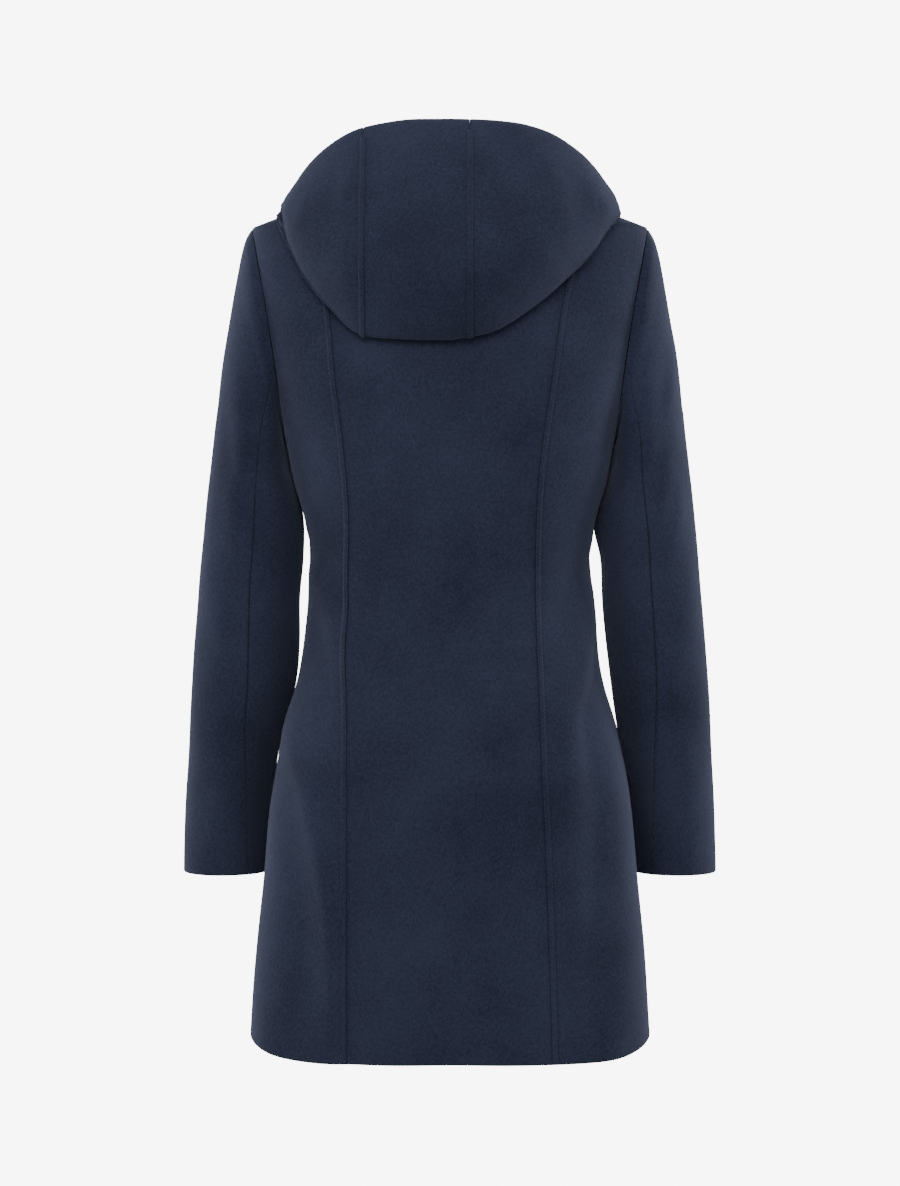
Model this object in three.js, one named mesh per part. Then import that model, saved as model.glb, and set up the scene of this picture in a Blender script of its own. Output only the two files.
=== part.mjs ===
// A hooded duffle coat of heavy wool cloth, filled out as if worn, arms hanging, fastened at the front.
// Millimetres, +Z up. The wearer faces -Y and the wearer's left is +X. The origin is the centre of the
// neck at the level of the shoulders, where the wearer carries the coat.
import * as THREE from 'three';

const { clamp, lerp, degToRad, smoothstep } = THREE.MathUtils;

// ---- Driving dimensions ----
const WALL = 2.6; // thickness of the wool cloth
const GAP = 0.3; // between two pieces at a seam
const HEM_Z = -848; // centre back hem
const HEM_LIFT = 14; // how far the hem rises at the side seams
const HEM_CORNER = 8; // how near to the side seams it starts to rise: higher is nearer
const NECK = { half: 76, z: 10 }; // neck point, where the shoulder seam meets the neckline
const TIP = { x: 197, z: -37 }; // end of the shoulder seam, at the top of the armhole
const UNDERARM = { x: 163, z: -252 };
const ARMHOLE = { depth: 57, hollowBack: 3.5, hollowFront: 7 }; // half its width, and its inward curve
const NECKLINE_DROP = 85; // from the neck point down to the centre front
const OVERLAP = 22; // how far each front passes the centre line
const PRINCESS_SHOULDER = 137; // where the princess seams end on the shoulder seam

// Rows of numbers as objects, by the names of their columns.
const table = (names, rows) => rows.map(
  (row) => Object.fromEntries(names.split(' ').map((name, k) => [name, row[k]])));

// Horizontal sections of the body: half width, depth behind and before the side seams, and the fullness
// of the corners behind and before (2 is an ellipse). Above the underarm the armhole gives the width.
const SECTIONS = [
  { z: -848, half: 198, back: 143, front: 138, fullBack: 3.4, fullFront: 2.9 },
  { z: -780, half: 193.5, back: 141, front: 136, fullBack: 3.2, fullFront: 2.8 },
  { z: -690, half: 185.5, back: 138, front: 133, fullBack: 3.0, fullFront: 2.7 },
  { z: -600, half: 178.5, back: 134, front: 128, fullBack: 2.8, fullFront: 2.6 },
  { z: -540, half: 167, back: 127, front: 122, fullBack: 2.6, fullFront: 2.5 },
  { z: -480, half: 150.5, back: 118, front: 115, fullBack: 2.5, fullFront: 2.4 },
  { z: -420, half: 142.5, back: 110, front: 109, fullBack: 2.4, fullFront: 2.3 },
  { z: -367, half: 139.5, back: 107, front: 107, fullBack: 2.4, fullFront: 2.3 },
  { z: -340, half: 142, back: 109, front: 109.4, fullBack: 2.4, fullFront: 2.3 },
  { z: -320, half: 147, back: 111, front: 112, fullBack: 2.4, fullFront: 2.3 },
  { z: -290, half: 156, back: 115, front: 117, fullBack: 2.45, fullFront: 2.3 },
  { z: -252, half: 163, back: 119, front: 121, fullBack: 2.5, fullFront: 2.3 },
  { z: -190, half: 176, back: 123, front: 124, fullBack: 2.5, fullFront: 2.3 },
  { z: -130, half: 185, back: 120, front: 116, fullBack: 2.4, fullFront: 2.3 },
  { z: -75, half: 192, back: 109, front: 99, fullBack: 2.3, fullFront: 2.3 },
  { z: -37, half: 197, back: 94, front: 82, fullBack: 2.3, fullFront: 2.3 },
  { z: -10, half: 127, back: 79, front: 68, fullBack: 2.2, fullFront: 2.2 },
  { z: 10, half: 76, back: 64, front: 56, fullBack: 2.1, fullFront: 2.1 },
];

// Distance of each princess seam from the centre back line; the two sides hang a little differently.
const PRINCESS = [
  { z: -848, left: 102, right: 100 },
  { z: -743, left: 102, right: 97 },
  { z: -600, left: 102, right: 91.5 },
  { z: -500, left: 102, right: 88 },
  { z: -407, left: 102, right: 85 },
  { z: -324, left: 100.5, right: 86 },
  { z: -262, left: 105, right: 91 },
  { z: -196, left: 113, right: 100.5 },
  { z: -110, left: 121, right: 113.5 },
  { z: -14, left: PRINCESS_SHOULDER, right: PRINCESS_SHOULDER },
];

// The largest folds, as soft ridges that run from one place to another. Behind is +1, before is -1.
const FOLDS = [
  { name: 'left side back', facing: 1, x: 152, z: -540, toX: 109, toZ: -848, width: 22, rise: 7 },
  { name: 'left waist', facing: 1, x: 138, z: -370, toX: 102, toZ: -490, width: 15, rise: 4 },
  { name: 'right waist', facing: 1, x: -138, z: -380, toX: -108, toZ: -520, width: 16, rise: 4.5 },
  { name: 'right side back', facing: 1, x: -106, z: -500, toX: -112, toZ: -720, width: 20, rise: 5 },
  { name: 'right hem', facing: 1, x: -140, z: -620, toX: -150, toZ: -848, width: 24, rise: 5 },
  { name: 'left side front', facing: -1, x: 140, z: -520, toX: 118, toZ: -848, width: 24, rise: 7 },
  { name: 'right side front', facing: -1, x: -142, z: -500, toX: -124, toZ: -848, width: 24, rise: 6 },
  { name: 'left front waist', facing: -1, x: 138, z: -370, toX: 120, toZ: -500, width: 14, rise: 4 },
  { name: 'right front waist', facing: -1, x: -136, z: -380, toX: -122, toZ: -510, width: 14, rise: 4 },
];

// Sleeve rings from the armhole to the cuff: the outermost point of each, the innermost on either arm,
// half its depth from front to back, how far its middle stands forward, and the angles of the two seams.
const RINGS = table('ring outX outZ inLeft inRight inZ depth forward back front', [
  [0, 197.5, -36, 163.5, 163.5, -250, 58, 0, 108, -100],
  [1, 203.5, -45, 164.4, 164.4, -252.5, 62, 1, 112, -101],
  [2, 209, -62, 163.4, 163.4, -258, 65, 4, 113.5, -103],
  [3, 214, -86, 161.7, 161.7, -265, 68, 9, 110.5, -105],
  [4, 219.5, -116, 159.9, 159.9, -274, 70, 12, 107, -108],
  [5, 226, -155, 157, 157, -287, 71, 15, 101.5, -110],
  [6, 232.5, -200, 151.3, 151.1, -306, 71, 17, 96, -112],
  [7, 239, -255, 146.6, 144.4, -332, 69, 18, 92.5, -114],
  [8, 245.6, -320, 147, 151, -366, 67, 18, 94, -116],
  [9, 251.2, -380, 151, 153, -405, 65, 19, 95, -118],
  [10, 256, -435, 151.5, 157, -448, 63, 21, 96, -120],
  [11, 260, -488, 155.5, 162.5, -493, 61, 25, 99, -122],
  [12, 263.5, -540, 169, 169, -541, 60, 31, 106, -124],
  [13, 266.6, -592, 178, 178, -592, 59, 37, 117, -126],
  [14, 268.8, -639, 182, 182, -639, 58, 41, 123, -128],
  [15, 270, -681.5, 184.6, 184.6, -681.5, 57, 43, 128, -130],
]);

// The hood lies back. Each station, from the centre back (0) over the shoulder (7) to the centre front
// (12), runs from the neck seam over the coat to the lower fold, then up to the top of the roll and in to
// the rim. Neck and fold points lie on the body; the middle, top and rim stand free. Raise is how much
// higher the fold lies on the wearer's right, and lift how much further off the coat it is than the rest.
const HOOD = table(
  'at neckX neckZ foldX foldZ midX midY midZ topX topY topZ rimX rimY rimZ raise lift', [
    [0, 0, 10, 0, -160, 0, 166, -84, 0, 97, 54, 0, 64, 41.5, 0, 4.5],
    [1, 24, 10, 45, -159, 50, 164, -82, 46, 96, 53, 40, 62, 40, 9, 4.5],
    [2, 44, 10, 86, -153, 96, 150, -74, 90.5, 90, 46, 76, 56, 33.5, 31, 4.5],
    [3, 58, 10, 112, -129, 126, 128, -60, 122, 79, 31, 100, 48, 21.5, 31, 4.5],
    [4, 67, 10, 134, -102, 147, 104, -44, 140, 66, 17, 113, 40, 12.5, 27, 4.5],
    [5, 72, 10, 151, -68, 161, 76, -29, 150.5, 50, 2.5, 120, 30, 5, 20, 3.6],
    [6, 75, 10, 159, -33, 166, 38, -18, 158, 28, -7, 126, 17, 2, 3, 1.6],
    [7, 76, 10, 162, -21.5, 167.5, 1, -14, 156.5, 2, -4, 126, 2, 4, 0, 0.8],
    [8, 75, -2, 150, -28, 153, -38, -16, 146, -33, -7, 120, -24, 2, 0, 1.6],
    [9, 68, -28, 122, -40, 125, -74, -28, 115, -66, -12, 98, -52, -2, 0, 3.6],
    [10, 52, -52, 86, -62, 87, -102, -50, 79, -96, -30, 69, -84, -18, 0, 4.5],
    [11, 27, -69.5, 47, -82, 46, -118, -72, 40, -113, -52, 35, -102, -40, 0, 4.5],
    [12, 3, -75, 5, -88, 4, -117, -82, 3, -116, -73, 3, -112, -64, 0, 4.5],
  ]);

// Fasteners, from the top: four horn toggles, each on a cord, with a leather tab on each front.
const FASTENERS = [{ z: -125 }, { z: -225 }, { z: -325 }, { z: -425 }];
const TAB = { near: 58, length: 36, height: 40, thick: 1.6, lift: 0.8 }; // near: from the middle
const CORD_RADIUS = 1.7;
const TOGGLE = { length: 54, radius: 7, end: 4, groove: 3.4, grooveHalf: 2.2, stand: 16 };

// ---- Materials ----
const cloth = (color) => new THREE.MeshStandardMaterial({ color, roughness: 0.95, metalness: 0 });
const navy = () => cloth('#262e3f');
const leather = () => new THREE.MeshStandardMaterial({ color: '#2b211c', roughness: 0.6, metalness: 0 });
const cord = () => new THREE.MeshStandardMaterial({ color: '#1b1e27', roughness: 0.8, metalness: 0 });
const horn = () => new THREE.MeshStandardMaterial({ color: '#4a3626', roughness: 0.4, metalness: 0 });

const coat = new THREE.Group();

function addMesh(name, geometry, material) {
  const mesh = new THREE.Mesh(geometry, material);
  mesh.name = name;
  coat.add(mesh);
  return mesh;
}

// ---- Smooth values between the rows of a table ----
// A cubic through the rows, whose key grows from row to row.
function valueAt(rows, key, at, column) {
  const last = rows.length - 1;
  const x = clamp(at, rows[0][key], rows[last][key]);
  let i = 0;
  while (i < last - 1 && x > rows[i + 1][key]) i += 1;
  const slope = (k) => {
    const a = rows[Math.max(k - 1, 0)];
    const b = rows[Math.min(k + 1, last)];
    return (b[column] - a[column]) / (b[key] - a[key]);
  };
  const span = rows[i + 1][key] - rows[i][key];
  const t = (x - rows[i][key]) / span;
  const t2 = t * t;
  const t3 = t2 * t;
  return (2 * t3 - 3 * t2 + 1) * rows[i][column] + (t3 - 2 * t2 + t) * span * slope(i)
    + (3 * t2 - 2 * t3) * rows[i + 1][column] + (t3 - t2) * span * slope(i + 1);
}

// ---- The body as one smooth surface ----
// Where the armhole runs at a height, and half its width there.
function armhole(z) {
  const along = clamp((z - UNDERARM.z) / (TIP.z - UNDERARM.z), 0, 1);
  const chord = lerp(UNDERARM.x, TIP.x, along);
  const bow = Math.sin(Math.PI * along);
  const width = ARMHOLE.depth * Math.sqrt(Math.max(0, 1 - (2 * along - 1) ** 2));
  return { back: chord - ARMHOLE.hollowBack * bow, front: chord - ARMHOLE.hollowFront * bow, width };
}

function section(z) {
  const read = (column) => valueAt(SECTIONS, 'z', z, column);
  const s = Object.fromEntries(['back', 'front', 'fullBack', 'fullFront'].map((name) => [name, read(name)]));
  if (z > TIP.z) {
    s.half = lerp(TIP.x, NECK.half, (z - TIP.z) / (NECK.z - TIP.z));
  } else if (z > UNDERARM.z) {
    const a = armhole(z);
    s.half = a.back / (1 - (a.width / s.back) ** s.fullBack) ** (1 / s.fullBack);
  } else {
    s.half = read('half');
  }
  return s;
}

// The angle on a section at which it is x from the middle, on the back (+1) or the front (-1).
function angleAt(x, z, facing) {
  const s = section(z);
  const full = facing > 0 ? s.fullBack : s.fullFront;
  const angle = Math.acos(clamp(Math.abs(x) / s.half, 0, 1) ** (full / 2));
  const turned = x < 0 ? Math.PI - angle : angle;
  return facing * turned;
}

function bareBody(angle, z) {
  const s = section(z);
  const c = Math.cos(angle);
  const d = Math.sin(angle);
  const full = d >= 0 ? s.fullBack : s.fullFront;
  const x = s.half * Math.sign(c) * Math.abs(c) ** (2 / full);
  const y = (d >= 0 ? s.back : s.front) * Math.sign(d) * Math.abs(d) ** (2 / full);
  const hem = HEM_LIFT * (Math.abs(x) / s.half) ** HEM_CORNER * smoothstep(-z, 600, -HEM_Z);
  return new THREE.Vector3(x, y, z + hem);
}

function bodyNormal(angle, z) {
  const da = 0.01;
  const dz = 0.6;
  const high = Math.min(z + dz, NECK.z);
  const low = Math.max(z - dz, HEM_Z);
  const around = bareBody(angle + da, z).sub(bareBody(angle - da, z));
  const up = bareBody(angle, high).sub(bareBody(angle, low));
  return around.cross(up).normalize();
}

function foldRise(x, z, facing) {
  let rise = 0;
  for (const f of FOLDS) {
    const along = (f.z - z) / (f.z - f.toZ);
    if (f.facing !== facing || along <= 0) continue;
    const middle = lerp(f.x, f.toX, Math.min(along, 1));
    const fade = smoothstep(along, 0, 0.35) * (f.toZ > HEM_Z ? 1 - smoothstep(along, 0.6, 1) : 1);
    rise += f.rise * fade * Math.exp(-(((x - middle) / f.width) ** 2));
  }
  return rise;
}

// A point of the cloth's outer face, lifted off the body's form by lift.
function onBody(angle, z, lift = 0) {
  const point = bareBody(angle, z);
  const normal = bodyNormal(angle, z);
  const folds = foldRise(point.x, z, Math.sin(angle) >= 0 ? 1 : -1);
  return { point: point.addScaledVector(normal, folds + lift), normal };
}

// ---- Cloth walls ----
// A closed wall on a grid of outer points and normals: grid[row][column] = { point, normal }.
// Turned grids run the other way round, so that the outer face still looks out.
function wall(grid, turned = false, thick = WALL) {
  const rows = grid.length;
  const columns = grid[0].length;
  const position = [];
  for (const row of grid) for (const { point } of row) position.push(...point);
  for (const row of grid) {
    for (const { point, normal } of row) position.push(...point.clone().addScaledVector(normal, -thick));
  }
  const inside = rows * columns;
  const index = [];
  const face = (a, b, c, d) => index.push(...(turned ? [a, c, b, a, d, c] : [a, b, c, a, c, d]));
  const at = (i, j) => i * columns + j;
  for (let i = 0; i < rows - 1; i += 1) {
    for (let j = 0; j < columns - 1; j += 1) {
      face(at(i, j), at(i, j + 1), at(i + 1, j + 1), at(i + 1, j));
      face(inside + at(i, j), inside + at(i + 1, j), inside + at(i + 1, j + 1), inside + at(i, j + 1));
    }
  }
  const rim = [];
  for (let j = 0; j < columns - 1; j += 1) rim.push(at(0, j));
  for (let i = 0; i < rows - 1; i += 1) rim.push(at(i, columns - 1));
  for (let j = columns - 1; j > 0; j -= 1) rim.push(at(rows - 1, j));
  for (let i = rows - 1; i > 0; i -= 1) rim.push(at(i, 0));
  rim.forEach((a, k) => {
    const b = rim[(k + 1) % rim.length];
    face(a, inside + a, inside + b, b);
  });
  const geometry = new THREE.BufferGeometry();
  geometry.setAttribute('position', new THREE.Float32BufferAttribute(position, 3));
  geometry.setIndex(index);
  return geometry;
}

// Even steps along a curve given by sample(t), t from 0 to 1, kept off both ends to leave the seam gap.
function evenSteps(sample, steps, slack = GAP * 0.8) {
  const fine = 64;
  const length = [0];
  let before = sample(0).point;
  for (let k = 1; k <= fine; k += 1) {
    const here = sample(k / fine).point;
    length.push(length[k - 1] + here.distanceTo(before));
    before = here;
  }
  const total = length[fine];
  const margin = Math.min(slack, total * 0.2);
  return Array.from({ length: steps + 1 }, (_, j) => {
    const want = lerp(margin, total - margin, j / steps);
    let k = 1;
    while (k < fine && length[k] < want) k += 1;
    return sample((k - 1 + (want - length[k - 1]) / (length[k] - length[k - 1])) / fine);
  });
}

// ---- Body panels ----
// Heights of the rows: even steps up the skirt, closer ones round the armhole and over the shoulder.
const SKIRT_STEPS = 13;
const ARMHOLE_STEPS = 8;
const ROWS = [
  ...Array.from({ length: SKIRT_STEPS }, (_, k) => lerp(HEM_Z, UNDERARM.z, k / SKIRT_STEPS)),
  ...Array.from({ length: ARMHOLE_STEPS }, (_, k) => {
    const turn = (1 - Math.cos((Math.PI * k) / ARMHOLE_STEPS)) / 2;
    return lerp(UNDERARM.z, TIP.z, turn);
  }),
  TIP.z, -30, -22, -15, -7, 1, 8,
];

const backEdge = (z) => (z <= UNDERARM.z || z >= TIP.z ? section(z).half : armhole(z).back);
const frontEdge = (z) => (z <= UNDERARM.z || z >= TIP.z ? section(z).half : armhole(z).front);
const princess = (z, column) => valueAt(PRINCESS, 'z', z, column);

function necklineX(z) {
  const down = (NECK.z - z) / NECKLINE_DROP;
  return down >= 1 ? 0 : NECK.half * Math.sqrt(1 - down ** 2);
}

// One panel: from(z) and to(z) are angles round the body, lift(x, z) moves it off the form.
function panel(heights, columns, from, to, lift = () => 0) {
  const grid = heights.map((z) => evenSteps((t) => {
    const angle = lerp(from(z), to(z), t);
    const { x } = bareBody(angle, z);
    return onBody(angle, z, lift(x, z));
  }, columns));
  return wall(grid);
}

const apex = PRINCESS.at(-1).z - 1;
const sideRows = [...ROWS.filter((z) => z < apex - 1), apex];
addMesh('back_centre', panel(ROWS, 8,
  (z) => angleAt(Math.min(princess(z, 'left'), section(z).half), z, 1),
  (z) => angleAt(-Math.min(princess(z, 'right'), section(z).half), z, 1)), navy());
addMesh('back_side_left', panel(sideRows, 5,
  (z) => angleAt(backEdge(z), z, 1),
  (z) => angleAt(princess(z, 'left'), z, 1)), navy());
addMesh('back_side_right', panel(sideRows, 5,
  (z) => angleAt(-princess(z, 'right'), z, 1),
  (z) => angleAt(-backEdge(z), z, 1)), navy());

// The left front passes the centre under the right one, so it sinks there by one wall.
const UNDERLAP = WALL + GAP + 0.4;
const sink = (x) => -UNDERLAP * (1 - smoothstep(x, OVERLAP + 12, OVERLAP + 36));
const frontStart = (z, sign) => {
  const reach = z < NECK.z - NECKLINE_DROP ? -OVERLAP : Math.max(necklineX(z), 1);
  return angleAt(sign * reach, z, -1);
};
const neckRow = NECK.z - NECKLINE_DROP;
const frontRows = [...ROWS.filter((z) => Math.abs(z - neckRow) > 8), neckRow - 1.2, neckRow + 1.2]
  .sort((a, b) => a - b);
addMesh('front_left', panel(frontRows, 9,
  (z) => frontStart(z, 1),
  (z) => angleAt(frontEdge(z), z, -1), sink), navy());
addMesh('front_right', panel(frontRows, 9,
  (z) => angleAt(-frontEdge(z), z, -1),
  (z) => frontStart(z, -1)), navy());

// ---- Sleeves ----
const LAST_RING = RINGS.length - 1;
const SLEEVE_ROWS = 17;
const SLEEVE_SLACK = GAP * 2.7;

function sleevePoint(turn, ring, inner) {
  const read = (column) => valueAt(RINGS, 'ring', ring, column);
  const outX = read('outX');
  const outZ = read('outZ');
  const inX = read(inner);
  const inZ = read('inZ');
  const c = Math.cos(turn);
  const d = Math.sin(turn);
  const free = new THREE.Vector3((outX + inX) / 2 + ((outX - inX) / 2) * c,
    read('depth') * d - read('forward'), (outZ + inZ) / 2 + ((outZ - inZ) / 2) * c);
  if (ring >= 1) return free;
  // The first ring is the armhole itself, half a millimetre outside the body's edge.
  const z = lerp(UNDERARM.z, TIP.z, (1 + c) / 2);
  const facing = d >= 0 ? 1 : -1;
  const x = facing > 0 ? backEdge(z) : frontEdge(z);
  const seam = bareBody(angleAt(x, z, facing), z);
  seam.x += GAP + 0.3 + 1.4 * Math.max(-c, 0);
  seam.z += c > 0 ? 0.5 * c : 0.6 * Math.abs(c);
  return seam.lerp(free, ring);
}

function onSleeve(turn, ring, inner) {
  const step = 0.02;
  const near = (a, r) => sleevePoint(a, r, inner);
  const around = near(turn + step, ring).sub(near(turn - step, ring));
  const next = Math.min(ring + step, LAST_RING);
  const down = near(turn, next).sub(near(turn, next - step));
  return { point: near(turn, ring), normal: down.cross(around).normalize() };
}

function mirrored(sample) {
  return (...where) => {
    const { point, normal } = sample(...where);
    const flip = new THREE.Vector3(-1, 1, 1);
    return { point: point.multiply(flip), normal: normal.multiply(flip) };
  };
}

// The rings crowd together where the sleeve turns down at the top.
const ringOf = (row) => LAST_RING * (row / SLEEVE_ROWS) ** 1.25;

function sleeve(side, sample) {
  const seam = (ring, column) => degToRad(valueAt(RINGS, 'ring', ring, column));
  const half = (columns, from, to) => {
    const grid = [];
    for (let row = 0; row <= SLEEVE_ROWS; row += 1) {
      const ring = ringOf(row);
      grid.push(evenSteps((t) => sample(lerp(from(ring), to(ring), t), ring), columns, SLEEVE_SLACK));
    }
    return wall(grid, side === 'left');
  };
  const front = (ring) => seam(ring, 'front');
  const back = (ring) => seam(ring, 'back');
  addMesh(`sleeve_top_${side}`, half(9, front, back), navy());
  addMesh(`sleeve_under_${side}`, half(7, back, (ring) => front(ring) + 2 * Math.PI), navy());
}

sleeve('left', (turn, ring) => onSleeve(turn, ring, 'inLeft'));
sleeve('right', mirrored((turn, ring) => onSleeve(turn, ring, 'inRight')));

// ---- Hood ----
const FRONT_STATION = HOOD.length - 1;
const SIDE_STATION = 7;
const SEAM_LIFT = 0.9; // the hood's under layer off the coat at the neck seam
const HOOD_LIFT = 4.6; // and further out
const stationFacing = (at) => (at <= SIDE_STATION ? 1 : -1);

// The angle and height on the body of each station's neck and fold points, on one side of the hood.
const onBodyTable = (raised) => HOOD.map((row) => {
  const facing = stationFacing(row.at);
  const foldZ = row.foldZ + raised * row.raise;
  const foldX = row.at === SIDE_STATION ? section(foldZ).half : row.foldX;
  return {
    at: row.at,
    neckAngle: angleAt(row.neckX, row.neckZ, facing),
    neckZ: row.neckZ,
    foldAngle: angleAt(foldX, foldZ, facing),
    foldZ,
  };
});
const HOOD_ON_BODY = { left: onBodyTable(0), right: onBodyTable(1) };

function hoodLayer(side, at, share) {
  const read = (column) => valueAt(HOOD_ON_BODY[side], 'at', at, column);
  const angle = lerp(read('neckAngle'), read('foldAngle'), share);
  const z = Math.min(lerp(read('neckZ'), read('foldZ'), share), NECK.z);
  const lift = SEAM_LIFT + (HOOD_LIFT - SEAM_LIFT) * smoothstep(share, 0, 0.2)
    + valueAt(HOOD, 'at', at, 'lift') * smoothstep(share, 0.5, 1);
  return onBody(angle, z, lift).point;
}

// A smooth curve through points, one to each unit of t, its bends kept tight where the points crowd.
function curveAt(points, t) {
  const last = points.length - 1;
  const i = Math.min(Math.floor(t), last - 1);
  const slope = (k) => {
    if (k === last) return points[k].clone().sub(points[k - 1]);
    const shorter = Math.min(points[k].distanceTo(points[k - 1]), points[k].distanceTo(points[k + 1]));
    return points[k + 1].clone().sub(points[k - 1]).divideScalar(2).clampLength(0, 1.5 * shorter);
  };
  const u = t - i;
  return points[i].clone().multiplyScalar(2 * u ** 3 - 3 * u ** 2 + 1)
    .addScaledVector(slope(i), u ** 3 - 2 * u ** 2 + u)
    .addScaledVector(points[i + 1], 3 * u ** 2 - 2 * u ** 3)
    .addScaledVector(slope(i + 1), u ** 3 - u ** 2);
}

// across runs from 0 at the neck seam, over 3 at the fold, to 6 at the rim.
const FOLD = 3;
const HOOD_SPAN = 6;

function hoodPoint(side, at, across) {
  if (across <= FOLD) return hoodLayer(side, at, across / FOLD);
  const free = (name) => new THREE.Vector3(
    ...['X', 'Y', 'Z'].map((axis) => valueAt(HOOD, 'at', at, name + axis)));
  const middle = free('mid');
  if (side === 'right') middle.z += valueAt(HOOD, 'at', at, 'raise') / 2;
  const points = [hoodLayer(side, at, 0.66), hoodLayer(side, at, 1), middle, free('top'), free('rim')];
  return curveAt(points, across - FOLD + 1);
}

function onHood(side, at, across) {
  const step = 0.02;
  const before = Math.max(at - step, 0);
  const after = Math.min(at + step, FRONT_STATION);
  const nearer = Math.max(across - step, 0);
  const further = Math.min(across + step, HOOD_SPAN);
  const round = hoodPoint(side, after, across).sub(hoodPoint(side, before, across));
  const over = hoodPoint(side, at, further).sub(hoodPoint(side, at, nearer));
  return { point: hoodPoint(side, at, across), normal: over.cross(round).normalize() };
}

// The middle strip lies to the wearer's left. Its two seams, as distances from the centre back.
const STRIP = { left: { neck: 40, fold: 84 }, right: { neck: 14, fold: 19 } };
const HOOD_ROWS = [0, 0.25, 0.6, 1.1, 1.6, 2.1, 2.6, 3, 3.15, 3.4, 3.75, 4.1, 4.5, 4.8, 5.1, 5.5, 6];

function stationWhere(side, x, across) {
  let low = 0;
  let high = 6;
  for (let k = 0; k < 30; k += 1) {
    const middle = (low + high) / 2;
    if (hoodPoint(side, middle, across).x < x) low = middle;
    else high = middle;
  }
  return low;
}

function hoodPanel(columns, sample) {
  return wall(HOOD_ROWS.map((across) => evenSteps((t) => sample(t, across), columns)), true);
}

function stripEdge(side, across) {
  const { neck, fold } = STRIP[side];
  return stationWhere(side, lerp(neck, fold, clamp(across / FOLD, 0, 1)), across);
}

// Stations count down from the centre front on the right, over 0 behind, up to the one on the left.
const onRight = mirrored((at, across) => onHood('right', at, across));
const eitherSide = (at, across) => (at >= 0 ? onHood('left', at, across) : onRight(-at, across));

addMesh('hood_centre', hoodPanel(5, (t, across) => eitherSide(
  lerp(-stripEdge('right', across), stripEdge('left', across), t), across)), navy());
addMesh('hood_side_left', hoodPanel(14, (t, across) => eitherSide(
  lerp(stripEdge('left', across), FRONT_STATION, t), across)), navy());
addMesh('hood_side_right', hoodPanel(17, (t, across) => eitherSide(
  lerp(-FRONT_STATION, -stripEdge('right', across), t), across)), navy());

// ---- Fasteners ----
// A point before the front, x from the middle, at height z and lift off the cloth.
function beforeFront(x, z, lift) {
  return onBody(angleAt(x, z, -1), z, lift);
}

// A leather tab lies on the front: straight at the near edge, rounded at the far one.
function tab(sign, height) {
  const columns = 6;
  const grid = [-1, -0.5, 0, 0.5, 1].map((up) => Array.from({ length: columns + 1 }, (_, j) => {
    const along = j / columns;
    const half = (TAB.height / 2) * Math.sqrt(1 - 0.88 * along ** 3);
    const x = TAB.near + TAB.length * along;
    return beforeFront(sign * x, height + up * half, TAB.lift + TAB.thick);
  }));
  return wall(grid, sign < 0, TAB.thick);
}

// A round cord along points of x from the middle, height and lift.
function cordAlong(points, height) {
  const path = new THREE.CatmullRomCurve3(
    points.map(([x, up, lift]) => beforeFront(x, height, lift).point.add(new THREE.Vector3(0, 0, up))),
    false, 'centripetal');
  const round = new THREE.Shape(Array.from({ length: 8 }, (_, k) => {
    const angle = (k / 8) * 2 * Math.PI;
    return new THREE.Vector2(CORD_RADIUS * Math.cos(angle), CORD_RADIUS * Math.sin(angle));
  }));
  return new THREE.ExtrudeGeometry(round, { steps: 22, bevelEnabled: false, extrudePath: path });
}

// A cord goes out and comes back: the way back is the way out, mirrored in height.
const outAndBack = (out) => [...out, ...out.slice(0, -1).reverse().map(([x, up, lift]) => [x, -up, lift])];

const onCloth = CORD_RADIUS + 1.8;
const tabEdge = TAB.near - 0.5;
const loopRoute = outAndBack([
  [-tabEdge, 6.6, onCloth], [-40, 6.6, onCloth], [-22, 6.5, 4], [-8, 6.4, 6.6], [4, 6.4, 7],
  [10.8, 4, 7.1], [13, 0, 7.1],
]);

const wrap = TOGGLE.groove + 1.5 + CORD_RADIUS; // radius of the cord's bend round the toggle
const wrapPoints = [30, 70, 110, 150, 180].map((degrees) => {
  const turn = degToRad(degrees);
  return [0, wrap * Math.sin(turn), TOGGLE.stand - wrap * Math.cos(turn)];
});
const holdRoute = outAndBack([
  [tabEdge, 3.2, onCloth], [40, 2.6, onCloth], [20, 2.2, onCloth], [9, 2.1, onCloth], [2, 2.1, 5.4],
  ...wrapPoints,
]);

function toggle() {
  const half = TOGGLE.length / 2;
  const { radius, end, groove, grooveHalf } = TOGGLE;
  const side = [
    [groove, grooveHalf], [radius, grooveHalf + 1.2], [radius * 0.94, half * 0.5],
    [end, half * 0.94], [0, half],
  ];
  const profile = [
    ...side.slice().reverse().map(([r, along]) => new THREE.Vector2(r, -along)),
    ...side.map(([r, along]) => new THREE.Vector2(r, along)),
  ];
  return new THREE.LatheGeometry(profile, 12).rotateZ(Math.PI / 2);
}

FASTENERS.forEach(({ z }, k) => {
  const number = k + 1;
  addMesh(`tab_left_${number}`, tab(1, z), leather());
  addMesh(`tab_right_${number}`, tab(-1, z), leather());
  addMesh(`cord_right_${number}`, cordAlong(loopRoute, z), cord());
  addMesh(`cord_left_${number}`, cordAlong(holdRoute, z), cord());
  const horned = addMesh(`toggle_${number}`, toggle(), horn());
  horned.position.copy(beforeFront(0, z, TOGGLE.stand).point);
});

coat.name = 'duffle_coat';
export default coat;
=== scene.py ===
import math
import bpy
import numpy as np
from mathutils import Matrix, Vector


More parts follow.
